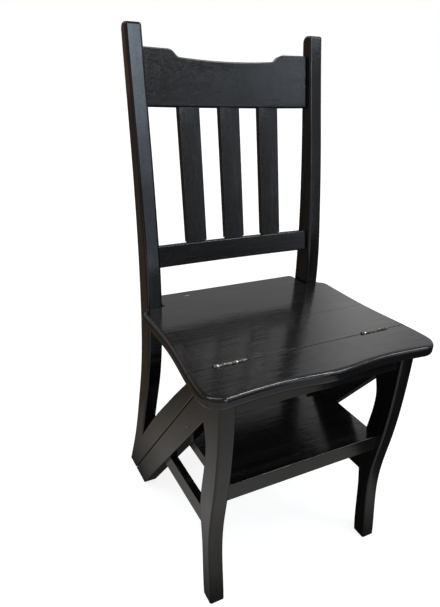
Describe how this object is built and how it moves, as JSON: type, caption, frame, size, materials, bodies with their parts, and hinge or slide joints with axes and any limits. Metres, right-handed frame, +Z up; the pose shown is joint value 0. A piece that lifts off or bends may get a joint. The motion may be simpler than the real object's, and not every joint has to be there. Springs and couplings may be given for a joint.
{
  "type": "folding step stool chair",
  "caption": "Slat-back wooden chair whose seat is split and hinged near its front, so the back turns over to the front and the chair becomes a step ladder.",
  "frame": {"origin": "on the floor at the middle of the chair's length and width, in the chair pose", "axes": "+X to the sitter's left, +Y from the seat's front edge to the back, +Z up"},
  "size_m": [0.434, 0.462, 0.901],
  "materials": {
    "black_wood": "satin black lacquer over fine grain, edges a little worn",
    "unpainted_wood": "sawn, unpainted",
    "hinge_brass": "worn, the lacquer rubbed off the barrel",
    "screw_steel": "plain turned steel"
  },
  "bodies": {
    "base": {"front_leg_left": "black_wood", "front_leg_right": "black_wood", "lower_diagonal_left": "black_wood", "lower_diagonal_right": "black_wood", "side_stretcher_left": "black_wood", "side_stretcher_right": "black_wood", "front_apron": "black_wood", "front_corner_blocks": "unpainted_wood", "step_front_rail": "black_wood", "step_board": "black_wood", "step_screws": "screw_steel", "step_plugs": "black_wood", "strip_screws": "screw_steel", "seat_front_strip": "black_wood", "hinge_leaf_fixed_left": "hinge_brass", "hinge_leaf_fixed_right": "hinge_brass", "hinge_screws_fixed": "screw_steel"},
    "flip": {"back_post_left": "black_wood", "back_post_right": "black_wood", "back_slat_left": "black_wood", "back_slat_middle": "black_wood", "back_slat_right": "black_wood", "crest_rail": "black_wood", "hinge_leaf_moving_left": "hinge_brass", "hinge_leaf_moving_right": "hinge_brass", "hinge_pin_left": "hinge_brass", "hinge_pin_right": "hinge_brass", "hinge_screws_moving": "screw_steel", "lower_back_rail": "black_wood", "middle_tread": "black_wood", "rear_corner_blocks": "unpainted_wood", "seat_front_plank": "black_wood", "seat_rear_plank": "black_wood", "seat_rear_rail": "black_wood", "seat_screws": "screw_steel", "seat_side_rail_left": "black_wood", "seat_side_rail_right": "black_wood", "top_tread": "black_wood", "tread_plugs": "black_wood", "tread_screws": "screw_steel", "upper_diagonal_left": "black_wood", "upper_diagonal_right": "black_wood"}
  },
  "joints": [
    {"name": "ladder_fold", "type": "hinge", "parent": "base", "child": "flip", "pos_m": [0, -0.147, 0.4505], "axis": [1, 0, 0], "range_deg": [0, 180]}
  ]
}
